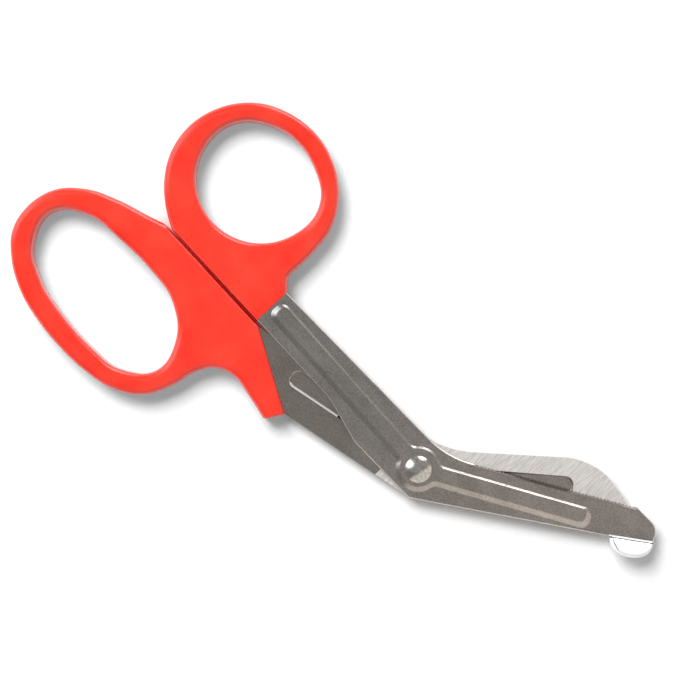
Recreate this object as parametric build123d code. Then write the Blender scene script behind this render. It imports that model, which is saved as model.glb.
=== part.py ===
from build123d import *
import os
from math import cos, hypot, radians, sin

os.makedirs("parts", exist_ok=True)

# Angled bandage scissors with moulded loop handles, lying closed and flat.
# Millimetres. The origin lies on the pivot axis, at the height that the scissors rest on.
# +X runs from the loops towards the tips, +Y towards the thumb loop, +Z up.
# The front half is the thumb handle and its toothed blade with the blunt foot.
# The back half is the finger handle, the round-nosed blade underneath, and the rivet.

# Stamped sheet of both halves
SHEET = 1.6
EMBOSS = 0.8
BLADE_GAP = 0.05
EDGE_BREAK = 0.25
SHANK_EDGE = 7.7
ELBOW_ROUND = 26.0

# Both handles
HANDLE_THICKNESS = 9.0
HANDLE_ROUND = 2.1
HANDLE_GAP = 1.0
CLOSING_GAP = 0.2
CLOSING_DROP = 3.47
CLOSING_TILT = 1.5
MOULD_GAP = 0.02

# Thumb loop and the neck that joins it to the front shank
FRONT_SHANK = 58.2
THUMB_HOLE_LENGTH = 34.2
THUMB_HOLE_WIDTH = 31.2
THUMB_SIDE_WALL = 6.4
THUMB_CROWN_WALL = 5.1
THUMB_NECK = 9.7
THUMB_SEAT = 9.3
THUMB_FACE = 11.3
THUMB_RAMP = 3.0
THUMB_FACE_ROUND = 0.2

# Finger loop and the slanted nose that carries the back shank
FINGER_HOLE_LENGTH = 50.3
FINGER_HOLE_WIDTH = 25.8
FINGER_END_WALL = 5.2
FINGER_SIDE_WALL = 5.9
FINGER_NECK = 8.2
FINGER_SEAT = 11.2
NOSE_OVERHANG = 1.6
NOSE_LENGTH = 23.3
NOSE_TOP = 11.1
NOSE_DEPTH = 16.4
NOSE_SLANT = 3.0
FINGER_FACE_ROUND = 0.9

# Tangs hidden in the handles
FRONT_TANG_LENGTH = 20.0
FRONT_TANG_WIDTH = 5.2
FRONT_TANG_HEIGHT = 5.6
BACK_TANG_LENGTH = 18.0
BACK_TANG_WIDTH = 5.0
BACK_TANG_DEPTH = 6.5
TANG_HOLE = 2.6

# Front shank, below the line from the pivot to the handle
WAIST = 3.7
WAIST_PLACE = 30.0
WAIST_ROUND = 20.0
BELLY = 7.1
BELLY_PLACE = 17.0
BELLY_ROUND = 6.0
HEEL_ROUND = 1.0

# Front blade, along and across a line that leaves the pivot at the blade's angle
FRONT_ANGLE = 30.8
FRONT_EDGE = 5.1
FRONT_HEEL = 8.0
FRONT_TOE = 4.1
FRONT_REACH = 65.7
TOE_CORNER = 1.2
TOE_ROUND = 3.5

# Teeth along the front blade's edge
TEETH_START = 14.2
TEETH_STOP = 6.6
TOOTH_PITCH = 1.0
TOOTH_DEPTH = 0.45
TOOTH_LAND = 0.1
EDGE_BEVEL = 0.7

# Blunt foot bent up at the toe of the front blade
FOOT_SETBACK = 11.8
FOOT_LENGTH = 11.6
FOOT_TURN = 6.0
FOOT_REACH = 5.1
FOOT_ANGLE = 40.0
FOOT_INSET = 0.5
FOOT_RIM = 0.5
BEND_ROUND = 0.6

# Back shank and blade, along and across lines that leave the pivot at their angles
BACK_SHANK_ANGLE = 12.0
BACK_SHANK_TOP = 8.3
BACK_SHANK_LOW = 7.6
BACK_ANGLE = 42.5
BACK_SPINE = 5.2
BACK_REACH = 56.4
BACK_HEEL = 7.4
BACK_TOE = 10.9
BACK_BEVEL = 1.2

# Raised ribs and the round boss at the pivot
BOSS_RADIUS = 6.0
RIB_STEEP = 0.25
FRONT_RIB_GENTLE = 1.4
BACK_RIB_GENTLE = 0.5
RIB_BLEND = 2.2
CREST_ROUND = 0.6
ROOT_ROUND = 0.3
HOLLOW_ROUND = 0.4
FRONT_SHANK_RIB_STOP = 0.8
FRONT_SHANK_RIB_TILT = 2.5
FRONT_BLADE_RIB_STOP = 18.0
FRONT_BLADE_RIB_TILT = 29.8
BACK_SHANK_RIB = 41.8
BACK_BLADE_RIB_STOP = 14.7
BACK_BLADE_RIB_TILT = 41.2

# Rivet
RIVET_DIAMETER = 4.4
RIVET_CLEARANCE = 0.05
HEAD_DIAMETER = 7.1
HEAD_HEIGHT = 1.7
HEAD_LIP = 0.25
TAIL_DIAMETER = 7.4
TAIL_FLAT = 5.2
TAIL_LIP = 0.8

# Cuts reach past what they cut by this much, and points nearer than TOUCH count as one
OVERRUN = 5.0
TOUCH = 0.01

# Loop outlines, as shares of half the loop's length and width from its middle
THUMB_HOLE_SHARES = [
    (-0.95, 0.36), (-0.88, -0.43), (-0.31, -0.94), (0.41, -0.88),
    (0.92, -0.30), (0.93, 0.50), (0.32, 0.95), (-0.41, 0.91),
]
THUMB_RING_SHARES = [
    (0.01, -1.27), (-0.51, -1.05), (-0.71, -0.87), (-0.925, -0.51), (-0.995, -0.09),
    (-0.91, 0.33), (-0.66, 0.72), (-0.33, 0.93), (0.045, 1.0), (0.415, 0.91),
    (0.735, 0.675), (0.945, 0.32), (1.01, -0.11), (1.012, -0.4),
]
FINGER_HOLE_SHARES = [
    (-0.99, 0.31), (-0.87, -0.43), (-0.51, -0.83), (-0.11, -0.97),
    (0.30, -0.99), (0.71, -0.86), (0.99, -0.31), (0.88, 0.44),
    (0.55, 0.90), (0.14, 1.0), (-0.28, 0.96), (-0.69, 0.83),
]
FINGER_RING_SHARES = [
    (-0.03, 1.30), (-0.21, 1.19), (-0.49, 1.03), (-0.75, 0.81), (-0.945, 0.46), (-1.0, 0.08),
    (-0.93, -0.38), (-0.75, -0.66), (-0.49, -0.87), (-0.20, -0.97), (0.09, -1.0),
    (0.38, -0.97), (0.665, -0.86), (0.90, -0.59), (1.02, -0.165), (1.06, 0.15),
]
# Underside of the finger handle's nose, as shares of its length and depth
NOSE_UNDER_SHARES = [(0.08, -0.99), (0.19, -0.90), (0.31, -0.86), (0.56, -0.90), (1.2, -1.11)]
# Round nose of the back blade, as shares of its reach and of its width at the toe
BACK_NOSE_SHARES = [
    (0.66, 0.0), (0.79, 0.06), (0.885, 0.24), (0.935, 0.43), (0.985, 0.66), (1.0, 0.86), (0.955, 1.0),
]
# Where the back tang leaves the slanted face, as shares of the face's length
BACK_TANG_ROOT_SHARES = (0.22, 0.80)
# How far each rib reaches above and below its line, as shares of the boss's radius
FRONT_SHANK_RIB_SHARES = (0.50, 0.43)
FRONT_BLADE_RIB_SHARES = (0.40, 0.525)
BACK_SHANK_RIB_SHARES = (0.70, 0.07)
BACK_BLADE_RIB_SHARES = (0.17, 0.73)
# Corner radius of a rib, as a share of its width
RIB_CORNER_SHARE = 0.42
# Keying holes along the tangs, as shares of the tang's length
TANG_HOLE_SHARE = 0.7
NOSE_HOLE_SHARE = -0.3

MIDDLE = HANDLE_THICKNESS / 2
TEETH_END = FRONT_REACH - TEETH_STOP
FOOT_PLACE = FRONT_REACH - FOOT_SETBACK
BOSS_TOP = SHEET + EMBOSS
HANDLE_FRAME = Location((-FRONT_SHANK, -CLOSING_DROP, 0), (0, 0, -CLOSING_TILT))


def turned(angle, along, across):
    """A point along and across a line that leaves the pivot at an angle."""
    c = cos(radians(angle))
    s = sin(radians(angle))
    return Vector(along * c - across * s, along * s + across * c)


def in_row(x, y):
    """A point of the handles' frame, which has x forward along their closing line."""
    return (HANDLE_FRAME * Location((x, y, 0))).position


def crossing(p, q, r, s):
    """Where the line through p and q meets the line through r and s."""
    a = q - p
    b = s - r
    t = ((r.X - p.X) * b.Y - (r.Y - p.Y) * b.X) / (a.X * b.Y - a.Y * b.X)
    return p + a * t


def placed(shares, centre, half_length, half_width):
    """Outline points from shares of a half length and a half width."""
    return [(centre[0] + u * half_length, centre[1] + v * half_width) for u, v in shares]


def nose_point(share, gap=0):
    """A point on the slanted front face of the finger handle, in the handles' frame."""
    run = NOSE_LENGTH - NOSE_OVERHANG
    fall = NOSE_TOP - HANDLE_GAP / 2
    size = hypot(run, fall)
    x = NOSE_OVERHANG + share * run + gap * fall / size
    y = -HANDLE_GAP / 2 - share * fall + gap * run / size
    return (x, y)


def headings(points, closed):
    """Unit tangents at points of a smooth line: those of the circle through each and its neighbours."""
    count = len(points)
    found = []
    for i in range(count):
        a, b, c = points[i - 1], points[i], points[(i + 1) % count]
        found.append(((b - a) / (b - a).length ** 2 + (c - b) / (c - b).length ** 2).normalized())
    if not closed:
        for end, inner in ((0, 1), (-1, -2)):
            chord = (points[inner] - points[end]).normalized()
            found[end] = chord * (2 * chord.dot(found[inner])) - found[inner]
    return found


def arcs(*points, closed=False):
    """A smooth line of arcs through points, two from each point to the next."""
    points = [Vector(*p) for p in points]
    turns = headings(points, closed)
    edges = []
    for i in range(len(points) if closed else len(points) - 1):
        p, q = points[i], points[(i + 1) % len(points)]
        u, v = turns[i], turns[(i + 1) % len(points)]
        chord = q - p
        lean = chord.dot(u + v)
        reach = chord.dot(chord) / (lean + (lean ** 2 + (2 - 2 * u.dot(v)) * chord.dot(chord)) ** 0.5)
        near = p + u * reach
        far = q - v * reach
        middle = (near + far) / 2
        edges.append(TangentArc(p, middle, tangent=u))
        edges.append(TangentArc(middle, q, tangent=(far - near).normalized()))
    return Curve() + edges


def polygon(*points):
    return make_face(Polyline(*points, close=True))


def level(edge):
    return abs((edge @ 0).Z - (edge @ 1).Z) < TOUCH


def prism(face, low, high):
    """A flat face made solid between two heights."""
    return Pos(0, 0, low) * extrude(face, high - low, dir=(0, 0, 1))


# Tangs, grown by a gap where the handles are moulded round them

def front_tang(gap=0):
    low = FRONT_TANG_HEIGHT - FRONT_TANG_WIDTH / 2 - gap
    high = FRONT_TANG_HEIGHT + FRONT_TANG_WIDTH / 2 + gap
    back = -FRONT_TANG_LENGTH - gap
    outline = polygon((MOULD_GAP, low), (MOULD_GAP, high), (back, high), (back, low))
    hole = Pos(-FRONT_TANG_LENGTH * TANG_HOLE_SHARE, FRONT_TANG_HEIGHT) * Circle(TANG_HOLE / 2 - gap)
    return HANDLE_FRAME * (outline - hole)


def back_tang(gap=0):
    top = -BACK_TANG_DEPTH + BACK_TANG_WIDTH / 2 + gap
    low = -BACK_TANG_DEPTH - BACK_TANG_WIDTH / 2 - gap
    back = -BACK_TANG_LENGTH - gap
    x1, y1 = nose_point(BACK_TANG_ROOT_SHARES[0], MOULD_GAP)
    x2, y2 = nose_point(BACK_TANG_ROOT_SHARES[1], MOULD_GAP)
    outline = polygon((x1, y1 + gap), (back, top), (back, low), (x2, y2 - gap))
    for share in (TANG_HOLE_SHARE, NOSE_HOLE_SHARE):
        outline -= Pos(-BACK_TANG_LENGTH * share, -BACK_TANG_DEPTH) * Circle(TANG_HOLE / 2 - gap)
    return HANDLE_FRAME * outline


# Handles

def loop_blank(outline, hole, kept):
    """A loop handle before its flat faces are trimmed, rounded along the kept rim and the hole."""
    blank = prism(outline - make_face(arcs(*hole, closed=True)), 0, HANDLE_THICKNESS)
    return fillet([e for e in blank.edges() if level(e) and kept(e @ 0.5)], HANDLE_ROUND)


def closing_cut(side, left, right):
    """What is cut off along the closing line. It leaves a low ridge at mid height, where the halves part."""
    high = HANDLE_THICKNESS + OVERRUN
    wall = side * HANDLE_GAP / 2
    section = polygon(
        (-side * OVERRUN, -OVERRUN), (wall, -OVERRUN), (wall, 0), (side * CLOSING_GAP / 2, MIDDLE),
        (wall, HANDLE_THICKNESS), (wall, high), (-side * OVERRUN, high),
    )
    return Pos(left, 0, 0) * extrude(Plane.YZ * section, right - left, dir=(1, 0, 0))


def trim(solid, closing, rounding, *outline):
    """Cuts a handle off along the closing line and an outline, and rounds the new faces' long edges."""
    waste = closing + prism(polygon(*outline), -OVERRUN, HANDLE_THICKNESS + OVERRUN)
    solid = solid - waste
    straight = solid.edges().filter_by(GeomType.LINE)
    rims = [e for e in straight if level(e) and abs(abs((e @ 0.5).Z - MIDDLE) - MIDDLE) < TOUCH]
    return fillet([e for e in rims if waste.distance_to(e @ 0.5) < TOUCH], rounding)


def thumb_handle():
    half_length = THUMB_HOLE_LENGTH / 2
    half_width = THUMB_HOLE_WIDTH / 2
    centre = (-THUMB_NECK - half_length, THUMB_SEAT + half_width)
    hole = placed(THUMB_HOLE_SHARES, centre, half_length, half_width)
    ring = placed(THUMB_RING_SHARES, centre, half_length + THUMB_SIDE_WALL, half_width + THUMB_CROWN_WALL)
    rim = arcs(*ring)
    neck = FilletPolyline(
        ring[-1],
        (ring[-1][0], THUMB_FACE - ring[-1][0]),
        (OVERRUN, THUMB_FACE - OVERRUN),
        radius=[THUMB_RAMP],
    )
    rest = Polyline(neck @ 1, (OVERRUN, -OVERRUN), (ring[0][0], -OVERRUN), ring[0])
    outline = make_face([*rim.edges(), *neck.edges(), *rest.edges()])
    solid = loop_blank(outline, hole, lambda p: p.Y > HANDLE_GAP and p.X < OVERRUN - HANDLE_GAP)
    right = OVERRUN * 2
    solid = trim(solid, closing_cut(1, min(ring)[0], right), THUMB_FACE_ROUND,
                 (0, -right), (0, THUMB_FACE * 2), (right, THUMB_FACE * 2), (right, -right))
    floor = MIDDLE + BLADE_GAP
    pocket = prism(front_tang(MOULD_GAP), floor - MOULD_GAP, floor + SHEET + MOULD_GAP)
    return HANDLE_FRAME * solid - pocket


def finger_handle():
    half_length = FINGER_HOLE_LENGTH / 2
    half_width = FINGER_HOLE_WIDTH / 2
    centre = (-FINGER_NECK - half_length, -FINGER_SEAT - half_width)
    hole = placed(FINGER_HOLE_SHARES, centre, half_length, half_width)
    ring = placed(FINGER_RING_SHARES, centre, half_length + FINGER_END_WALL, half_width + FINGER_SIDE_WALL)
    under = placed(NOSE_UNDER_SHARES, (0, 0), NOSE_LENGTH, NOSE_DEPTH)
    rim = arcs(*ring, *under)
    far = under[-1][0]
    rest = Polyline(under[-1], (far, OVERRUN), (ring[0][0], OVERRUN), ring[0])
    outline = make_face([*rim.edges(), *rest.edges()])
    solid = loop_blank(outline, hole, lambda p: p.Y < -HANDLE_GAP and p.X < far - HANDLE_GAP)
    tip = nose_point(1)
    crown = nose_point(-OVERRUN / NOSE_TOP)
    slant = NOSE_SLANT / (NOSE_DEPTH - NOSE_TOP)
    below = (tip[0] - (NOSE_DEPTH + OVERRUN + tip[1]) * slant, -NOSE_DEPTH - OVERRUN)
    right = far + OVERRUN
    solid = trim(solid, closing_cut(-1, min(ring)[0], right), FINGER_FACE_ROUND,
                 crown, tip, below, (right, below[1]), (right, crown[1]))
    pocket = prism(back_tang(MOULD_GAP), MIDDLE - SHEET - MOULD_GAP, MIDDLE + MOULD_GAP)
    return HANDLE_FRAME * solid - pocket


# Sheet halves, built with the inner face at height 0 and the outer face up

def rib(rise, gentle, angle, reach, shares):
    """Outline of a rib from the pivot outwards, at a share of its rise: steep above, gentle below."""
    side = -1 if cos(radians(angle)) < 0 else 1
    up = shares[0] * BOSS_RADIUS - rise * RIB_STEEP
    down = shares[1] * BOSS_RADIUS - rise * gentle
    far = reach - rise * gentle
    corner = (up + down) * RIB_CORNER_SHARE
    path = FilletPolyline(
        (0, side * up), (far, side * up), (far, -side * down), (0, -side * down),
        radius=[0, corner, corner, 0], close=True,
    )
    return Rot(0, 0, angle) * make_face(path)


def pressing(ribs, gentle, rise):
    """Outline of the boss and its ribs, blended into each other, at a share of their rise."""
    radius = BOSS_RADIUS - rise * (gentle + RIB_STEEP) / 2
    steep_side = (ribs[0][0] + ribs[1][0]) / 2
    centre = turned(steep_side, rise * (gentle - RIB_STEEP) / 2, 0)
    outline = Pos(*centre) * Circle(radius) + [rib(rise, gentle, *values) for values in ribs]
    joints = [v for v in outline.vertices() if abs((Vector(v.X, v.Y) - centre).length - radius) < TOUCH]
    return Pos(0, 0, rise * EMBOSS) * fillet(joints, RIB_BLEND)


def eased(solid, line, radius):
    """Rounds the edges of a solid that follow a line."""
    return fillet([e for e in solid.edges() if line.distance_to(e @ 0.5) < TOUCH], radius)


def embossed(plate, ribs, gentle):
    """Presses the ribs and the pivot boss out of a plate, hollow on the inner face."""
    raised = loft([pressing(ribs, gentle, 0), pressing(ribs, gentle, 1)], ruled=True)
    crest = Pos(0, 0, SHEET) * fillet(raised.faces().sort_by(Axis.Z)[-1].edges(), CREST_ROUND)
    bore = Cylinder(RIVET_DIAMETER / 2 + RIVET_CLEARANCE, BOSS_TOP * 3)
    mouth = raised.faces().sort_by(Axis.Z)[0].outer_wire()
    solid = eased(plate + crest, Pos(0, 0, SHEET) * mouth, ROOT_ROUND)
    return eased(solid - raised, mouth, HOLLOW_ROUND) - bore


def bevel(start, end, width):
    """The wedge that grinds the edge from start to end, with the waste on its left."""
    along = (end - start).normalized()
    left = Vector(-along.Y, along.X)
    high = SHEET + OVERRUN
    section = polygon((0, 0), (-width, SHEET), (-width, high), (OVERRUN, high), (OVERRUN, 0))
    plane = Plane(origin=start, x_dir=left, z_dir=along)
    return extrude(plane * section, (end - start).length)


def teeth():
    """The row of V notches along the front blade's edge, in the blade's own line."""
    count = int((TEETH_END - TEETH_START) / TOOTH_PITCH)
    lift = TOOTH_DEPTH * TOOTH_LAND / (TOOTH_PITCH - TOOTH_LAND)
    points = [(TEETH_START, FRONT_EDGE + OVERRUN), (TEETH_START, FRONT_EDGE + lift)]
    for i in range(count):
        left = TEETH_START + i * TOOTH_PITCH
        points.append((left + TOOTH_PITCH / 2, FRONT_EDGE - TOOTH_DEPTH))
        points.append((left + TOOTH_PITCH, FRONT_EDGE + lift))
    points.append((points[-1][0], FRONT_EDGE + OVERRUN))
    return Rot(0, 0, FRONT_ANGLE) * prism(polygon(*points), -SHEET, SHEET * 2)


def foot(start):
    """The blunt foot: a half-round tab, bent up along a slanted line at the toe."""
    fold = Location((start.X, start.Y, 0), (0, 0, FRONT_ANGLE + FOOT_TURN))
    tab = Pos(FOOT_LENGTH / 2, 0) * Ellipse(FOOT_LENGTH / 2, FOOT_REACH)
    tab &= Pos(FOOT_LENGTH / 2, -FOOT_REACH / 2) * Rectangle(FOOT_LENGTH, FOOT_REACH)
    tab = prism(tab, 0, SHEET)
    tab = fillet([e for e in tab.edges() if level(e) and (e @ 0.5).Y < -FOOT_RIM], FOOT_RIM)
    hinge = Axis((0, 0, SHEET + BEND_ROUND), (-1, 0, 0))
    section = Plane.XZ * Pos(FOOT_LENGTH / 2, SHEET / 2) * Rectangle(FOOT_LENGTH, SHEET)
    bend = revolve(section, hinge, FOOT_ANGLE)
    return fold * (bend + tab.rotate(hinge, FOOT_ANGLE))


def front_blade():
    shoulder = (in_row(MOULD_GAP, HANDLE_GAP / 2), in_row(MOULD_GAP, THUMB_FACE))
    top = (Vector(0, SHANK_EDGE), Vector(-FRONT_SHANK, SHANK_EDGE))
    edge = (turned(FRONT_ANGLE, 0, FRONT_EDGE), turned(FRONT_ANGLE, FRONT_REACH, FRONT_EDGE))
    heel = turned(FRONT_ANGLE, 0, -FRONT_HEEL)
    toe = turned(FRONT_ANGLE, FOOT_PLACE, -FRONT_TOE)
    fold = toe + turned(FRONT_ANGLE + FOOT_TURN, 0, FOOT_INSET)
    fold_end = toe + turned(FRONT_ANGLE + FOOT_TURN, FOOT_LENGTH, FOOT_INSET)
    belly = (Vector(0, -BELLY), Vector(FRONT_SHANK, -BELLY))
    teeth_start = turned(FRONT_ANGLE, TEETH_START, FRONT_EDGE)
    teeth_end = turned(FRONT_ANGLE, TEETH_END, FRONT_EDGE)
    elbow = crossing(*top, *edge)
    corners = [
        (shoulder[0], 0),
        (Vector(-WAIST_PLACE, -WAIST), WAIST_ROUND),
        (Vector(-BELLY_PLACE, -BELLY), BELLY_ROUND),
        (crossing(*belly, heel, toe), HEEL_ROUND),
        (toe, 0),
        (fold, 0),
        (fold_end, 0),
        (turned(FRONT_ANGLE, FRONT_REACH, TOE_CORNER), TOE_ROUND),
        (teeth_end, 0),
        (elbow, ELBOW_ROUND),
        (crossing(*top, *shoulder), 0),
    ]
    outline = FilletPolyline([p for p, r in corners], radius=[r for p, r in corners], close=True)
    plate = prism(make_face(outline), 0, SHEET)
    # The outer edges, nearest the tang first: that one stays sharp against the handle
    rim = plate.faces().sort_by(Axis.Z)[-1].edges().sort_by_distance(front_tang().center())
    plate = chamfer(rim[1:], EDGE_BREAK) + prism(front_tang(), 0, SHEET)
    ribs = [
        (180 - FRONT_SHANK_RIB_TILT, FRONT_SHANK - FRONT_SHANK_RIB_STOP, FRONT_SHANK_RIB_SHARES),
        (FRONT_BLADE_RIB_TILT, FRONT_REACH - FRONT_BLADE_RIB_STOP, FRONT_BLADE_RIB_SHARES),
    ]
    solid = embossed(plate, ribs, FRONT_RIB_GENTLE)
    solid = solid - bevel(teeth_start, teeth_end, EDGE_BEVEL) - teeth() + foot(fold)
    return Pos(0, 0, MIDDLE + BLADE_GAP) * solid


def back_blade():
    top_root = in_row(*nose_point(0, MOULD_GAP))
    low_root = in_row(*nose_point(1, MOULD_GAP))
    spine = (turned(BACK_ANGLE, 0, BACK_SPINE), turned(BACK_ANGLE, BACK_REACH, BACK_SPINE))
    nose = [turned(BACK_ANGLE, u * BACK_REACH, BACK_SPINE - v * (BACK_SPINE + BACK_TOE))
            for u, v in BACK_NOSE_SHARES]
    elbow = crossing(top_root, turned(BACK_SHANK_ANGLE, 0, BACK_SHANK_TOP), *spine)
    heel = turned(BACK_ANGLE, 0, -BACK_HEEL)
    low = turned(BACK_SHANK_ANGLE, 0, -BACK_SHANK_LOW)
    corner = crossing(low_root, low, heel, nose[-1])
    top_path = FilletPolyline(top_root, elbow, nose[0], radius=[ELBOW_ROUND])
    nose_path = arcs(*nose)
    low_path = Polyline(nose[-1], corner, low_root, top_root)
    outline = make_face([*top_path.edges(), *nose_path.edges(), *low_path.edges()])
    plate = prism(outline + back_tang(), 0, SHEET)
    ribs = [
        (180 + BACK_SHANK_ANGLE, BACK_SHANK_RIB, BACK_SHANK_RIB_SHARES),
        (BACK_BLADE_RIB_TILT, BACK_REACH - BACK_BLADE_RIB_STOP, BACK_BLADE_RIB_SHARES),
    ]
    solid = embossed(plate, ribs, BACK_RIB_GENTLE) - bevel(nose[-1], corner, BACK_BEVEL)
    return Pos(0, 0, MIDDLE) * mirror(solid, Plane.XY)


# Rivet

def pivot_rivet():
    radius = RIVET_DIAMETER / 2
    head = HEAD_DIAMETER / 2
    tail = TAIL_DIAMETER / 2
    seat = MIDDLE + BLADE_GAP + BOSS_TOP + RIVET_CLEARANCE
    under = MIDDLE - BOSS_TOP
    rise = HEAD_HEIGHT - HEAD_LIP
    ball = (head ** 2 + rise ** 2) / (2 * rise)
    dome = ThreePointArc(
        (head, seat + HEAD_LIP),
        (head / 2, seat + HEAD_HEIGHT - ball + (ball ** 2 - head ** 2 / 4) ** 0.5),
        (0, seat + HEAD_HEIGHT),
    )
    rest = Polyline(
        (0, seat + HEAD_HEIGHT), (0, 0), (TAIL_FLAT / 2, 0), (tail, TAIL_LIP), (tail, under),
        (radius, under), (radius, seat), (head, seat), (head, seat + HEAD_LIP),
    )
    return revolve(Plane.XZ * make_face([*dome.edges(), *rest.edges()]), Axis.Z)


PARTS = {
    "thumb_handle": thumb_handle,
    "finger_handle": finger_handle,
    "front_blade": front_blade,
    "back_blade": back_blade,
    "pivot_rivet": pivot_rivet,
}
for name, make in PARTS.items():
    export_step(make(), f"parts/{name}.step")
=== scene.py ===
import math

import bpy
from bpy.props import FloatProperty, FloatVectorProperty, PointerProperty
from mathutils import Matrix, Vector


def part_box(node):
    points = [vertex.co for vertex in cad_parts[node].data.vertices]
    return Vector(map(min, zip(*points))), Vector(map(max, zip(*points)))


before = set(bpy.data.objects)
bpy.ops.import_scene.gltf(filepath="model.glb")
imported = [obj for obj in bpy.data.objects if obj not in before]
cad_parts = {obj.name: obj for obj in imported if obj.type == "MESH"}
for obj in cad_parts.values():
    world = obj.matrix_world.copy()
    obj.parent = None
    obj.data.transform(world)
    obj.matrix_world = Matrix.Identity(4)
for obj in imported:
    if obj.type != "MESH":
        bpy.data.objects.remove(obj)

bl_info = {
    "name": "Bandage scissors",
    "version": (1, 0, 0),
    "blender": (4, 5, 0),
    "location": "3D View > Sidebar > Scissors",
    "description": "Finishes and studio for a pair of angled bandage scissors",
    "category": "Object",
}

MM = 0.001
QUARTER = math.pi / 2
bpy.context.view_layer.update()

# The camera looks straight down. This is where the picture's right side points in the frame, what the
# picture is centred on, how wide it is there, and the camera's sensor in mm.
VIEW_TURN = math.atan2(0.716, 0.698)
VIEW_CENTRE = Vector((-39.1, 9.1, 4.5)) * MM
VIEW_WIDTH = 181.33 * MM
SENSOR = 36.0
NEAR_CLIP = 10 * MM

# The inner faces of the two sheets, which meet at the blades
FRONT_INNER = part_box("front_blade")[0].z
BACK_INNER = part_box("back_blade")[1].z

# How far the floor lies under the frame's zero, so that it never shares a plane with the part
FLOOR_DROP = 0.02 * MM

# On a mirror ball: half the blur of the light wall's edge, and where the ceiling darkens to the dark corner
WALL_BLUR = 0.035
CORNER_FADE = (0.1, 0.5)

# In halves of a softbox: where it has faded out, and within which it is full
BOX_FADE = (1.5, 0.7)

# +X runs from the handles to the pivot, and +Z up
ALONG = Vector((1, 0, 0))
UP = Vector((0, 0, 1))

# Between which values most of a pattern lies, and the levels of detail in soft, cloudy and gritty ones
PATTERN_LOW, PATTERN_HIGH = 0.3, 0.7
SOFT, CLOUDY, GRITTY = 2.0, 3.0, 4.0

# How many times longer than wide the steel's patches and its grinding lines are
PATCH_STRETCH = 2
LINE_STRETCH = 25

# Relief of the bumps at full strength, and each pattern's strength
BUMP_DEPTH = 0.02 * MM
GRAIN_BUMP, GRIT_BUMP, SCUFF_BUMP = 0.25, 0.3, 0.2

# How far the roughness drifts with the pattern, as a share of itself
PLASTIC_DRIFT, RIVET_DRIFT = 0.1, 0.3

# How much of the recess's depth its wall, painted bright as a highlight, takes
WALL_SHARE = 0.9

# Typical values of the plastic and of matt paper. Red light goes deepest into the plastic, then green
# and then blue.
PLASTIC_IOR = 1.49
PLASTIC_RADIUS = (1.0, 0.3, 0.2)
PAPER_ROUGHNESS = 0.9

# The share of open sky at which the shade in a narrow gap is full, and at which it has gone
GAP_SKY = (0.05, 0.35)

# Rays for worn edges and for open sky
EDGE_SAMPLES = 6
SKY_SAMPLES = 8


def linear(code):
    """An sRGB hex colour as the linear one that the shaders take, by the sRGB curve."""
    parts = [int(code[i:i + 2], 16) / 255 for i in (1, 3, 5)]
    return [c / 12.92 if c <= 0.04045 else ((c + 0.055) / 1.055) ** 2.4 for c in parts] + [1.0]


def add(tree, kind, links=(), **settings):
    """Adds a node. Settings name its properties or, with an underscore first, its inputs' values."""
    node = tree.nodes.new(kind)
    for key, value in settings.items():
        if key.startswith("_"):
            name = key[1:].replace("_", " ")
            node.inputs[int(name) if name.isdigit() else name].default_value = value
        else:
            setattr(node, key, value)
    for source, socket in links:
        tree.links.new(source, node.inputs[socket])
    return node


def new_material(name):
    """An empty material with its shader and output, and the coordinates that its patterns read."""
    material = bpy.data.materials.new(name)
    material.use_nodes = True
    tree = material.node_tree
    tree.nodes.clear()
    shader = add(tree, "ShaderNodeBsdfPrincipled")
    add(tree, "ShaderNodeOutputMaterial", [(shader.outputs["BSDF"], "Surface")])
    place = add(tree, "ShaderNodeTexCoord").outputs["Object"]
    return material, tree, shader, place


def pattern(tree, place, size, detail=SOFT, stretch=(1, 1, 1)):
    """An uneven pattern with spots about size metres across, drawn out along an axis by its stretch."""
    scale = [1 / (size * s) for s in stretch]
    drawn = add(tree, "ShaderNodeMapping", [(place, "Vector")], _Scale=scale)
    found = add(tree, "ShaderNodeTexNoise", [(drawn.outputs["Vector"], "Vector")], _Scale=1.0, _Detail=detail)
    return found.outputs["Fac"]


def shades(tree, value, dark, light):
    """A colour between two, chosen by a pattern."""
    part = add(tree, "ShaderNodeMapRange", [(value, "Value")], _1=PATTERN_LOW, _2=PATTERN_HIGH)
    mixed = add(tree, "ShaderNodeMix", [(part.outputs["Result"], "Factor")], data_type="RGBA",
                _6=dark, _7=light)
    return mixed.outputs[2]


def heading(turn):
    """A level direction, by its angle from +X."""
    return Vector((math.cos(turn), math.sin(turn), 0))


def beyond(tree, place, way, start):
    """1 where a place lies further than start in a direction, else 0."""
    far = add(tree, "ShaderNodeVectorMath", [(place, 0)], operation="DOT_PRODUCT", _1=way)
    found = add(tree, "ShaderNodeMath", [(far.outputs["Value"], 0)], operation="GREATER_THAN", _1=start)
    return found.outputs[0]


def strip(tree, place, way, middle, reach):
    """1 where a place lies within reach of a middle in a direction, else 0."""
    far = add(tree, "ShaderNodeVectorMath", [(place, 0)], operation="DOT_PRODUCT", _1=way)
    found = add(tree, "ShaderNodeMath", [(far.outputs["Value"], 0)], operation="COMPARE",
                _1=middle, _2=reach)
    return found.outputs[0]


def ramp(tree, place, way, start, end, low=0.0, high=1.0):
    """A number that goes from low at the start to high at the end in a direction."""
    far = add(tree, "ShaderNodeVectorMath", [(place, 0)], operation="DOT_PRODUCT", _1=way)
    found = add(tree, "ShaderNodeMapRange", [(far.outputs["Value"], "Value")], _1=start, _2=end,
                _3=low, _4=high)
    return found.outputs["Result"]


def overlap(tree, shared, *masks):
    """1 where all of the masks are 1, else 0."""
    for mask in masks:
        shared = add(tree, "ShaderNodeMath", [(shared, 0), (mask, 1)], operation="MULTIPLY").outputs[0]
    return shared


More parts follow.
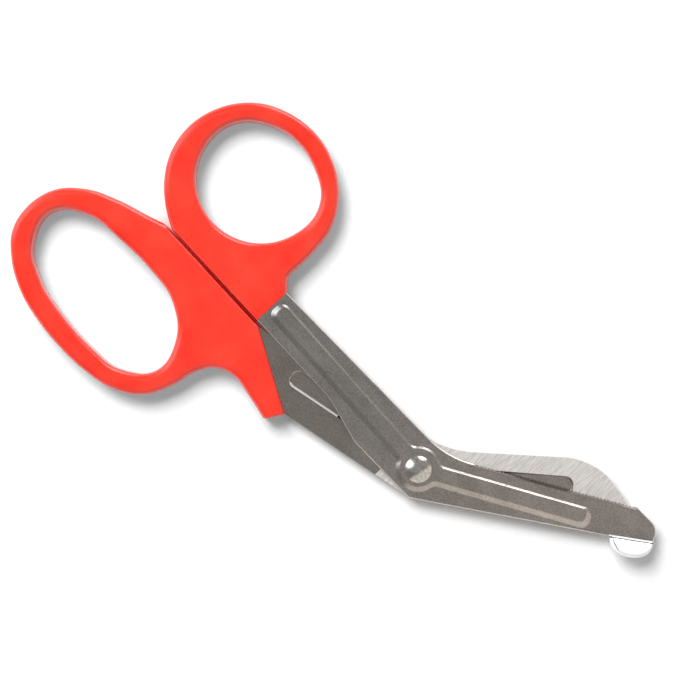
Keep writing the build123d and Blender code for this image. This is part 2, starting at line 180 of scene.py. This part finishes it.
def layers(tree, colour, *marks):
    """A colour with others laid over it in turn, each by its mask. Each is a socket or a fixed colour."""
    for mask, over in marks:
        mixed = add(tree, "ShaderNodeMix", [(mask, "Factor")], data_type="RGBA")
        for slot, shown in ((6, colour), (7, over)):
            if isinstance(shown, bpy.types.NodeSocket):
                tree.links.new(shown, mixed.inputs[slot])
            else:
                mixed.inputs[slot].default_value = shown
        colour = mixed.outputs[2]
    return colour


def moulded_polypropylene(look):
    """Injection-moulded polypropylene: one deep colour right through, satin from a finely eroded mould."""
    # The mould's grain is finer on the real one, and is drawn as coarse as it needs to show.
    material, tree, shader, place = new_material("moulded_polypropylene")
    flow = pattern(tree, place, look.flow, CLOUDY)
    across = heading(look.closing_turn + QUARTER)
    closing = strip(tree, place, across, look.closing_place, look.closing_width / 2)
    # The closing faces are painted a deeper red: painted shade for the narrow gap between the halves
    colour = layers(tree, shades(tree, flow, look.colour_dark, look.colour), (closing, look.closing))
    rough = add(tree, "ShaderNodeMapRange", [(flow, "Value")], _1=PATTERN_LOW, _2=PATTERN_HIGH,
                _3=look.roughness * (1 - PLASTIC_DRIFT), _4=look.roughness * (1 + PLASTIC_DRIFT))
    shine = add(tree, "ShaderNodeMapRange", [(closing, "Value")], _3=look.shine, _4=look.closing_shine)
    grain = add(tree, "ShaderNodeBump", [(pattern(tree, place, look.grain), "Height")],
                _Strength=GRAIN_BUMP, _Distance=BUMP_DEPTH)
    tree.links.new(colour, shader.inputs["Base Color"])
    tree.links.new(rough.outputs["Result"], shader.inputs["Roughness"])
    tree.links.new(shine.outputs["Result"], shader.inputs["Specular IOR Level"])
    tree.links.new(grain.outputs["Normal"], shader.inputs["Normal"])
    shader.inputs["IOR"].default_value = PLASTIC_IOR
    shader.inputs["Subsurface Weight"].default_value = look.glow
    shader.inputs["Subsurface Radius"].default_value = PLASTIC_RADIUS
    shader.inputs["Subsurface Scale"].default_value = look.glow_depth
    return material


def tumbled_sheet(tree, place, look, tone, grit):
    """Colour of the tumbled sheet: pits, duller patches and, on the shank, a painted reflection tone over
    both.
    """
    patches = pattern(tree, place, look.patch, CLOUDY, stretch=(PATCH_STRETCH, 1, 1))
    mixed = add(tree, "ShaderNodeMix", [(grit, 2), (patches, 3)], _0=look.patch_share)
    steel = shades(tree, mixed.outputs[0], look.steel_dark, look.steel)
    shank = ramp(tree, place, ALONG, look.shank_end, look.shank_start)
    toned = add(tree, "ShaderNodeMix", [(shank, "Factor"), (steel, 6)], data_type="RGBA",
                blend_type="MULTIPLY", _7=tone)
    return toned.outputs[2]


def toothed_edge(tree, place, look):
    """Mask of the bevel that the teeth are cut in. It is painted darker: partly its coarse grind, partly
    painted shade between the teeth.
    """
    bevel = beyond(tree, place, heading(look.edge_turn + QUARTER), look.edge_place)
    row = strip(tree, place, heading(look.edge_turn), look.edge_middle, look.edge_reach)
    return overlap(tree, bevel, row)


def bent_foot(tree, place, look):
    """Masks of the foot, which is painted bright as a highlight, of the shade at its fold, and of the shade
    along its rim.
    """
    out = heading(look.foot_turn)
    toe = beyond(tree, place, heading(look.edge_turn), look.foot_start)
    foot = overlap(tree, toe, beyond(tree, place, out, look.foot_place))
    fold = overlap(tree, toe, strip(tree, place, out, look.fold_place, look.shade_width / 2))
    from_middle = add(tree, "ShaderNodeVectorMath", [(place, 0)], operation="MULTIPLY_ADD", _1=(1, 1, 0),
                      _2=(-look.rim_middle[0], -look.rim_middle[1], 0)).outputs["Vector"]
    radius = add(tree, "ShaderNodeVectorMath", [(from_middle, 0)], operation="LENGTH")
    ring = add(tree, "ShaderNodeMath", [(radius.outputs["Value"], 0)], operation="COMPARE",
               _1=look.rim_radius, _2=look.shade_width / 2)
    arc = beyond(tree, from_middle, heading(look.rim_turn), look.rim_start)
    return foot, fold, overlap(tree, ring.outputs[0], arc)


def recess_wall(tree, place, look, inner):
    """Mask of the wall in the back shank's recess, painted bright as a highlight."""
    across = heading(look.wall_turn + QUARTER)
    wall = strip(tree, place, across, look.wall_place, look.wall_width / 2)
    deep = strip(tree, place, UP, inner - look.wall_depth, look.wall_depth * WALL_SHARE)
    reach = strip(tree, place, ALONG, look.wall_middle, look.wall_reach)
    return overlap(tree, wall, deep, reach)


def stamped_steel(look, name, inner, front):
    """Stainless sheet, stamped and tumbled to a finely pitted satin, then ground flat on its inner face."""
    # The pits and grinding lines are finer on the real one, and are drawn as coarse as they need to show.
    material, tree, shader, place = new_material(name)
    grit = pattern(tree, place, look.grit, GRITTY)
    tumbled = tumbled_sheet(tree, place, look, look.shank if front else look.shank_back, grit)
    lines = pattern(tree, place, look.ground_line, GRITTY, stretch=(1, LINE_STRETCH, 1))
    ground = overlap(tree, strip(tree, place, UP, inner, look.ground_depth),
                     beyond(tree, place, ALONG, look.ground_start))
    marks = [(ground, shades(tree, lines, look.ground_dark, look.ground))]
    worn = add(tree, "ShaderNodeBevel", samples=EDGE_SAMPLES, _Radius=look.edge_round)
    if front:
        # The tooth bevel is painted darker, partly for its coarse grind and partly as painted shade between
        # the teeth
        edge = toothed_edge(tree, place, look)
        # The foot is painted white as a highlight; its fold and rim get painted shade
        foot, fold, rim = bent_foot(tree, place, look)
        marks += [(edge, look.edge), (foot, look.painted_highlight), (fold, look.fold), (rim, look.rim)]
        painted_highlight = add(tree, "ShaderNodeMath", [(foot, 0), (fold, 1)], operation="SUBTRACT").outputs[0]
        wear = add(tree, "ShaderNodeMapRange", [(edge, "Value")], _3=look.edge_round, _4=0.0)
        tree.links.new(wear.outputs["Result"], worn.inputs["Radius"])
    else:
        # The recess wall is painted white as a highlight
        painted_highlight = recess_wall(tree, place, look, inner)
        marks.append((painted_highlight, look.painted_highlight))
    rough = add(tree, "ShaderNodeMapRange", [(ground, "Value")], _3=look.roughness, _4=look.ground_roughness)
    gloss = add(tree, "ShaderNodeMapRange", [(ground, "Value")], _3=1.0, _4=look.ground_metal)
    # Where the highlight is painted, the steel is partly matt, so the white shows from above
    metal = add(tree, "ShaderNodeMath", [(painted_highlight, 0), (gloss.outputs["Result"], 2)],
                operation="MULTIPLY_ADD", _1=look.painted_highlight_metal - 1.0)
    pits = add(tree, "ShaderNodeBump", [(grit, "Height"), (worn.outputs["Normal"], "Normal")],
               _Strength=GRIT_BUMP, _Distance=BUMP_DEPTH)
    tree.links.new(layers(tree, tumbled, *marks), shader.inputs["Base Color"])
    tree.links.new(rough.outputs["Result"], shader.inputs["Roughness"])
    tree.links.new(metal.outputs[0], shader.inputs["Metallic"])
    tree.links.new(pits.outputs["Normal"], shader.inputs["Normal"])
    return material


def polished_rivet(look):
    """A headed stainless rivet, its dome buffed nearly to a mirror and lightly scuffed."""
    material, tree, shader, place = new_material("polished_stainless_steel")
    scuff = pattern(tree, place, look.scuff, GRITTY)
    rough = add(tree, "ShaderNodeMapRange", [(scuff, "Value")], _1=PATTERN_LOW, _2=PATTERN_HIGH,
                _3=look.rivet_roughness * (1 - RIVET_DRIFT), _4=look.rivet_roughness * (1 + RIVET_DRIFT))
    marks = add(tree, "ShaderNodeBump", [(scuff, "Height")], _Strength=SCUFF_BUMP, _Distance=BUMP_DEPTH)
    tree.links.new(shades(tree, scuff, look.rivet_dark, look.rivet), shader.inputs["Base Color"])
    tree.links.new(rough.outputs["Result"], shader.inputs["Roughness"])
    tree.links.new(marks.outputs["Normal"], shader.inputs["Normal"])
    shader.inputs["Metallic"].default_value = 1.0
    return material


def paper_floor(look):
    """A roll of matt white paper laid flat, with a red painted shade where it shows in the narrow gap between
    the handles.
    """
    material, tree, shader, place = new_material("matt_paper")
    paper = shades(tree, pattern(tree, place, look.fibre, CLOUDY), look.floor_dark, look.floor)
    sky = add(tree, "ShaderNodeAmbientOcclusion", samples=SKY_SAMPLES, _Distance=look.gap_reach)
    full, gone = GAP_SKY
    clear = add(tree, "ShaderNodeMapRange", [(sky.outputs["AO"], "Value")], _1=full, _2=gone)
    steel = beyond(tree, place, ALONG, look.gap_end)
    bare = add(tree, "ShaderNodeMath", [(clear.outputs["Result"], 0), (steel, 1)], operation="MAXIMUM")
    tree.links.new(layers(tree, look.gap_shade, (bare.outputs[0], paper)), shader.inputs["Base Color"])
    shader.inputs["Roughness"].default_value = PAPER_ROUGHNESS
    return material


def dress(node, material):
    """Puts a material in each slot of a carried-over node."""
    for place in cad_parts[node].material_slots:
        place.material = material


def mirror_ball(tree):
    """Where each direction shows on a mirror ball seen from above: its level part over sqrt(2 + 2 height)."""
    towards = add(tree, "ShaderNodeTexCoord").outputs["Generated"]
    height = add(tree, "ShaderNodeSeparateXYZ", [(towards, "Vector")]).outputs["Z"]
    double = add(tree, "ShaderNodeMath", [(height, 0)], operation="MULTIPLY_ADD", _1=2.0, _2=2.0)
    shrink = add(tree, "ShaderNodeMath", [(double.outputs[0], 0)], operation="POWER", _1=-0.5)
    ball = add(tree, "ShaderNodeVectorMath", [(towards, 0), (shrink.outputs[0], "Scale")], operation="SCALE")
    return ball.outputs["Vector"]


def softbox(tree, ball, turn, place, height, width):
    """A soft-edged light patch on the mirror ball."""
    out = add(tree, "ShaderNodeVectorMath", [(ball, 0)], operation="DOT_PRODUCT", _1=heading(turn) / height)
    side = add(tree, "ShaderNodeVectorMath", [(ball, 0)], operation="DOT_PRODUCT",
               _1=heading(turn + QUARTER) / width)
    spot = add(tree, "ShaderNodeCombineXYZ", [(out.outputs["Value"], "X"), (side.outputs["Value"], "Y")])
    away = add(tree, "ShaderNodeVectorMath", [(spot.outputs[0], 0)], operation="DISTANCE",
               _1=(place / height, 0, 0))
    faded, full = BOX_FADE
    lit = add(tree, "ShaderNodeMapRange", [(away.outputs["Value"], "Value")], interpolation_type="SMOOTHSTEP",
              _1=faded, _2=full)
    return lit.outputs["Result"]


class HandleLook(bpy.types.PropertyGroup):
    """Finish of both loop handles"""
    colour: FloatVectorProperty(
        name="Colour", description="Plastic where it is lightest", default=linear("#F43B26"),
        size=4, subtype="COLOR")
    colour_dark: FloatVectorProperty(
        name="Darker colour", description="Plastic along its flow marks", default=linear("#EB2912"),
        size=4, subtype="COLOR")
    roughness: FloatProperty(
        name="Roughness", description="Of the moulded face", default=0.22, subtype="FACTOR")
    flow: FloatProperty(
        name="Flow marks", description="Size of the cloudy flow marks", default=9 * MM, unit="LENGTH")
    grain: FloatProperty(
        name="Grain", description="Size of the eroded mould's grain", default=0.35 * MM, unit="LENGTH")
    # Painted shade: the closing faces are a deeper red, standing in for the shade in the gap between the
    # halves
    closing: FloatVectorProperty(
        name="Closing faces", description="Plastic where the halves meet", default=linear("#F82012"),
        size=4, subtype="COLOR")
    closing_turn: FloatProperty(
        name="Closing direction", description="Of the line where the halves meet, from +X",
        default=math.radians(-1.5), subtype="ANGLE")
    closing_place: FloatProperty(
        name="Closing place", description="From the pivot to that line", default=-4.99 * MM, unit="LENGTH")
    closing_width: FloatProperty(
        name="Closing width", description="Of the gap between the halves", default=0.96 * MM, unit="LENGTH")
    shine: FloatProperty(
        name="Shine", description="Strength of the plastic's reflections", default=1.0, subtype="FACTOR")
    closing_shine: FloatProperty(
        name="Closing shine", description="The same on the closing faces", default=0.4, subtype="FACTOR")
    glow: FloatProperty(
        name="Glow", description="Share of the light that goes into the plastic", default=0.25,
        subtype="FACTOR")
    glow_depth: FloatProperty(
        name="Glow depth", description="How far red light goes into it", default=0.8 * MM, unit="LENGTH")


class SteelLook(bpy.types.PropertyGroup):
    """Finish of the two stamped halves and the rivet"""
    steel: FloatVectorProperty(
        name="Steel", description="Tumbled sheet at its lightest", default=linear("#FAEEE5"),
        size=4, subtype="COLOR")
    steel_dark: FloatVectorProperty(
        name="Pits", description="Tumbled sheet in its pits", default=linear("#BCB2A9"),
        size=4, subtype="COLOR")
    roughness: FloatProperty(
        name="Roughness", description="Of the tumbled sheet", default=0.3, subtype="FACTOR")
    # The shank tones are a painted reflection: darker, less warm steel where the shank reflects other light
    # than the blade
    shank: FloatVectorProperty(
        name="Front shank", description="Its tone, over the steel", default=linear("#EEF3F6"),
        size=4, subtype="COLOR")
    shank_back: FloatVectorProperty(
        name="Back shank", description="Its tone, over the steel", default=linear("#E2E3E1"),
        size=4, subtype="COLOR")
    shank_start: FloatProperty(
        name="Shank tone from", description="Where along X it is full", default=-20 * MM, unit="LENGTH")
    shank_end: FloatProperty(
        name="Shank tone to", description="Where along X it has gone", default=12 * MM, unit="LENGTH")
    grit: FloatProperty(
        name="Grit", description="Size of the pits", default=0.4 * MM, unit="LENGTH")
    patch: FloatProperty(
        name="Patches", description="Size of the duller patches", default=4 * MM, unit="LENGTH")
    patch_share: FloatProperty(
        name="Patch share", description="Part of the tone's change that the patches make, beside the pits",
        default=0.35, subtype="FACTOR")
    edge_round: FloatProperty(
        name="Edge wear", description="How far the tumbling rounds each edge", default=0.05 * MM,
        unit="LENGTH")
    ground: FloatVectorProperty(
        name="Ground steel", description="Ground face, light lines", default=linear("#FFFCF8"),
        size=4, subtype="COLOR")
    ground_dark: FloatVectorProperty(
        name="Ground lines", description="Ground face, dark lines", default=linear("#CCC5BE"),
        size=4, subtype="COLOR")
    ground_roughness: FloatProperty(
        name="Ground roughness", description="Of the ground face", default=0.75, subtype="FACTOR")
    ground_metal: FloatProperty(
        name="Ground gloss", description="Share that the fine lines don't scatter like a matt face",
        default=0.52, subtype="FACTOR")
    ground_line: FloatProperty(
        name="Line pitch", description="Between grinding lines", default=0.12 * MM, unit="LENGTH")
    ground_start: FloatProperty(
        name="Ground from", description="Where along X the grinding starts", default=-6.9 * MM,
        unit="LENGTH")
    ground_depth: FloatProperty(
        name="Ground depth", description="What lies deeper stays unground", default=0.04 * MM,
        unit="LENGTH")
    # Partly the bevel's coarse grind, partly painted shade between the teeth
    edge: FloatVectorProperty(
        name="Toothed edge", description="Bevel that the teeth are cut in", default=linear("#A59E97"),
        size=4, subtype="COLOR")
    edge_turn: FloatProperty(
        name="Edge direction", description="Of the toothed edge, from +X", default=math.radians(30.8),
        subtype="ANGLE")
    edge_place: FloatProperty(
        name="Edge place", description="From the pivot across to the bevel", default=4.3 * MM,
        unit="LENGTH")
    edge_middle: FloatProperty(
        name="Edge middle", description="From the pivot along to the middle tooth", default=36.6 * MM,
        unit="LENGTH")
    edge_reach: FloatProperty(
        name="Edge reach", description="Half the length of the row of teeth", default=22.5 * MM,
        unit="LENGTH")
    # Painted highlight: the foot and the recess wall are painted white and made partly matt
    painted_highlight: FloatVectorProperty(
        name="Rubbed steel", description="Foot and recess wall, rubbed bright", default=linear("#FFFFFF"),
        size=4, subtype="COLOR")
    painted_highlight_metal: FloatProperty(
        name="Rubbed gloss", description="Share that the rubbing doesn't scatter", default=0.4,
        subtype="FACTOR")
    foot_turn: FloatProperty(
        name="Foot direction", description="In which the foot points, from +X",
        default=math.radians(-53.2), subtype="ANGLE")
    foot_start: FloatProperty(
        name="Foot start", description="From the pivot along the blade", default=53.5 * MM, unit="LENGTH")
    foot_place: FloatProperty(
        name="Foot place", description="From the pivot out to the foot", default=9.25 * MM, unit="LENGTH")
    fold: FloatVectorProperty(
        name="Fold", description="Shade at the foot's fold", default=linear("#5C5650"),
        size=4, subtype="COLOR")
    fold_place: FloatProperty(
        name="Fold place", description="From the pivot out to that shade", default=9.84 * MM,
        unit="LENGTH")
    shade_width: FloatProperty(
        name="Shade width", description="Of the shades at the foot's fold and rim", default=0.34 * MM,
        unit="LENGTH")
    rim: FloatVectorProperty(
        name="Rim", description="Shade along the foot's rim", default=linear("#6E6860"),
        size=4, subtype="COLOR")
    rim_middle: FloatVectorProperty(
        name="Rim middle", description="What the foot's round rim is centred on, X and Y",
        default=(52.5 * MM, 28.5 * MM), size=2, unit="LENGTH")
    rim_radius: FloatProperty(
        name="Rim radius", description="From there to the shade", default=5.28 * MM, unit="LENGTH")
    rim_turn: FloatProperty(
        name="Rim direction", description="From there to the shade's middle, from +X",
        default=math.radians(248), subtype="ANGLE")
    rim_start: FloatProperty(
        name="Rim start", description="From there to the line between the shade's ends",
        default=5.05 * MM, unit="LENGTH")
    wall_turn: FloatProperty(
        name="Recess direction", description="Of the back shank's recess, from +X",
        default=math.radians(12), subtype="ANGLE")
    wall_place: FloatProperty(
        name="Recess wall", description="From the pivot across to the bright wall", default=-0.1 * MM,
        unit="LENGTH")
    wall_width: FloatProperty(
        name="Recess wall width", description="Of the bright wall", default=0.9 * MM, unit="LENGTH")
    wall_depth: FloatProperty(
        name="Recess wall depth", description="Half the depth of the recess", default=0.4 * MM,
        unit="LENGTH")
    wall_middle: FloatProperty(
        name="Recess wall middle", description="Where along X it is", default=-33.5 * MM, unit="LENGTH")
    wall_reach: FloatProperty(
        name="Recess wall reach", description="Half its length along X", default=8.5 * MM, unit="LENGTH")
    rivet: FloatVectorProperty(
        name="Rivet", description="Polished rivet", default=linear("#FFFAF2"), size=4, subtype="COLOR")
    rivet_dark: FloatVectorProperty(
        name="Rivet scuffs", description="Rivet where it is scuffed", default=linear("#D8D2CA"),
        size=4, subtype="COLOR")
    rivet_roughness: FloatProperty(
        name="Rivet roughness", description="Of the dome", default=0.19, subtype="FACTOR")
    scuff: FloatProperty(
        name="Scuffs", description="Size of the rivet's scuffs", default=0.8 * MM, unit="LENGTH")


class StudioLook(bpy.types.PropertyGroup):
    """Floor, camera and light. Places on a mirror ball run from 0 in its middle to 1 at its rim"""
    floor: FloatVectorProperty(
        name="Floor", description="Paper floor", default=linear("#F6F6F6"), size=4, subtype="COLOR")
    floor_dark: FloatVectorProperty(
        name="Floor fibres", description="Paper's darker fibres", default=linear("#F2F2F2"),
        size=4, subtype="COLOR")
    fibre: FloatProperty(
        name="Fibres", description="Size of the paper's fibres", default=1.5 * MM, unit="LENGTH")
    gap_reach: FloatProperty(
        name="Gap reach", description="Within which the sky has to be hidden", default=12 * MM,
        unit="LENGTH")
    gap_shade: FloatVectorProperty(
        name="Gap shade", description="Paper in the narrow gap between the handles",
        default=linear("#D00A00"), size=4, subtype="COLOR")
    gap_end: FloatProperty(
        name="Gap end", description="Where along X the gap ends", default=-50 * MM, unit="LENGTH")
    floor_size: FloatProperty(
        name="Floor size", description="Side of the floor", default=6.0, unit="LENGTH")
    lens: FloatProperty(
        name="Lens", description="Focal length", default=120.0, unit="CAMERA")
    key_power: FloatProperty(
        name="Key light", description="Power of the key light", default=16.2, unit="POWER")
    key_size: FloatProperty(
        name="Key size", description="Side of the key light", default=0.6, unit="LENGTH")
    key_reach: FloatProperty(
        name="Key distance", description="From the object to the key light", default=1.2, unit="LENGTH")
    key_height: FloatProperty(
        name="Key elevation", description="Above the floor", default=math.radians(58), subtype="ANGLE")
    key_turn: FloatProperty(
        name="Key direction", description="Round the object, from +X", default=math.radians(170),
        subtype="ANGLE")
    fill: FloatProperty(
        name="Fill", description="Even light from all round, on matt faces", default=0.36)
    ceiling: FloatProperty(
        name="Ceiling", description="Brightness overhead", default=0.27)
    corner: FloatProperty(
        name="Dark corner", description="Brightness of the dark side of the room", default=0.17)
    corner_turn: FloatProperty(
        name="Corner direction", description="Where the dark side is, from +X",
        default=math.radians(-100), subtype="ANGLE")
    wall: FloatVectorProperty(
        name="Wall", description="Colour of the light wall", default=linear("#CAC7C2"),
        size=4, subtype="COLOR")
    wall_turn: FloatProperty(
        name="Wall direction", description="Where the light wall stands, from +X",
        default=math.radians(-10.6), subtype="ANGLE")
    wall_edge: FloatProperty(
        name="Wall edge", description="Where the wall starts, on a mirror ball", default=0.21)
    box_colour: FloatVectorProperty(
        name="Softbox colour", description="Of both softboxes", default=linear("#F3F8FF"),
        size=4, subtype="COLOR")
    box_powers: FloatVectorProperty(
        name="Softboxes", description="Brightness of both softboxes", default=(1.8, 4.3), size=2)
    box_turns: FloatVectorProperty(
        name="Softbox directions", description="Of both, round the object from +X",
        default=(math.radians(195.7), math.radians(113.7)), size=2, unit="ROTATION")
    box_places: FloatVectorProperty(
        name="Softbox places", description="Of both, on a mirror ball", default=(0.52, 0.68), size=2)
    box_heights: FloatVectorProperty(
        name="Softbox heights", description="Half of each, on a mirror ball", default=(0.18, 0.12), size=2)
    box_widths: FloatVectorProperty(
        name="Softbox widths", description="Half of each, on a mirror ball", default=(0.2, 0.2), size=2)


class SCISSORS_OT_handles(bpy.types.Operator):
    """Gives both moulded loop handles their plastic"""
    bl_idname = "scissors.handles"
    bl_label = "Loop handles"

    def execute(self, context):
        plastic = moulded_polypropylene(context.scene.handle_look)
        for node in ("thumb_handle", "finger_handle"):
            dress(node, plastic)
            # The handles neither tint the floor nor show in the steel
            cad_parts[node].visible_diffuse = False
            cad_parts[node].visible_glossy = False
        return {"FINISHED"}


class SCISSORS_OT_blades(bpy.types.Operator):
    """Gives the two stamped halves their tumbled and ground steel"""
    bl_idname = "scissors.blades"
    bl_label = "Blades"

    def execute(self, context):
        look = context.scene.steel_look
        dress("front_blade", stamped_steel(look, "stamped_steel_front", FRONT_INNER, front=True))
        dress("back_blade", stamped_steel(look, "stamped_steel_back", BACK_INNER, front=False))
        return {"FINISHED"}


class SCISSORS_OT_rivet(bpy.types.Operator):
    """Polishes the pivot rivet"""
    bl_idname = "scissors.rivet"
    bl_label = "Pivot rivet"

    def execute(self, context):
        dress("pivot_rivet", polished_rivet(context.scene.steel_look))
        return {"FINISHED"}


class SCISSORS_OT_studio(bpy.types.Operator):
    """Lays the paper floor and sets the camera, the key light and the walls' soft light"""
    bl_idname = "scissors.studio"
    bl_label = "Studio"

    def execute(self, context):
        look = context.scene.studio_look
        self.floor(look)
        self.camera(look)
        self.key_light(look)
        self.walls(look)
        context.scene.view_settings.view_transform = "Standard"
        return {"FINISHED"}

    def floor(self, look):
        bpy.ops.object.select_all(action="DESELECT")
        bpy.ops.mesh.primitive_plane_add(size=look.floor_size, location=(0, 0, -FLOOR_DROP))
        floor = bpy.context.object
        floor.name = "paper_floor"
        floor.data.materials.append(paper_floor(look))

    def camera(self, look):
        lens = bpy.data.cameras.new("camera")
        lens.lens = look.lens
        lens.sensor_width = SENSOR
        lens.clip_start = NEAR_CLIP
        camera = bpy.data.objects.new("camera", lens)
        bpy.context.scene.collection.objects.link(camera)
        away = VIEW_WIDTH * look.lens / SENSOR
        camera.location = VIEW_CENTRE + Vector((0, 0, away))
        camera.rotation_euler = (0, 0, VIEW_TURN)
        bpy.context.scene.camera = camera

    def key_light(self, look):
        light = bpy.data.lights.new("key_light", "AREA")
        light.energy = look.key_power
        light.size = look.key_size
        lamp = bpy.data.objects.new("key_light", light)
        bpy.context.scene.collection.objects.link(lamp)
        level = math.cos(look.key_height)
        towards = Vector((math.cos(look.key_turn) * level, math.sin(look.key_turn) * level,
                          math.sin(look.key_height)))
        lamp.visible_glossy = False
        lamp.location = VIEW_CENTRE + towards * look.key_reach
        lamp.rotation_euler = towards.to_track_quat("Z", "Y").to_euler()

    def walls(self, look):
        world = bpy.data.worlds.new("studio")
        world.use_nodes = True
        tree = world.node_tree
        tree.nodes.clear()
        ball = mirror_ball(tree)
        roof = ramp(tree, ball, heading(look.corner_turn), *CORNER_FADE, look.ceiling, look.corner)
        light = ramp(tree, ball, heading(look.wall_turn), look.wall_edge - WALL_BLUR,
                     look.wall_edge + WALL_BLUR)
        room = [(light, look.wall)]
        boxes = zip(look.box_powers, look.box_turns, look.box_places, look.box_heights, look.box_widths)
        for power, *shape in boxes:
            bright = [power * part for part in look.box_colour[:3]] + [1.0]
            room.append((softbox(tree, ball, *shape), bright))
        # Matt faces get an even fill instead of the room's light
        matt = add(tree, "ShaderNodeLightPath").outputs["Is Diffuse Ray"]
        room.append((matt, [look.fill] * 3 + [1.0]))
        back = add(tree, "ShaderNodeBackground", [(layers(tree, roof, *room), "Color")])
        add(tree, "ShaderNodeOutputWorld", [(back.outputs[0], "Surface")])
        bpy.context.scene.world = world


class SCISSORS_PT_sidebar(bpy.types.Panel):
    """Lists the pieces and the studio"""
    bl_idname = "SCISSORS_PT_sidebar"
    bl_label = "Bandage scissors"
    bl_space_type = "VIEW_3D"
    bl_region_type = "UI"
    bl_category = "Scissors"

    def draw(self, context):
        for step in STEPS:
            self.layout.operator(step.bl_idname)


LOOKS = {"handle_look": HandleLook, "steel_look": SteelLook, "studio_look": StudioLook}
STEPS = (SCISSORS_OT_handles, SCISSORS_OT_blades, SCISSORS_OT_rivet, SCISSORS_OT_studio)


def register():
    for item in (*LOOKS.values(), *STEPS, SCISSORS_PT_sidebar):
        bpy.utils.register_class(item)
    for name, look in LOOKS.items():
        setattr(bpy.types.Scene, name, PointerProperty(type=look))


def unregister():
    for name in LOOKS:
        delattr(bpy.types.Scene, name)
    for item in (SCISSORS_PT_sidebar, *STEPS, *LOOKS.values()):
        bpy.utils.unregister_class(item)


def main():
    register()
    bpy.ops.scissors.handles()
    bpy.ops.scissors.blades()
    bpy.ops.scissors.rivet()
    bpy.ops.scissors.studio()


if __name__ == "__main__":
    main()
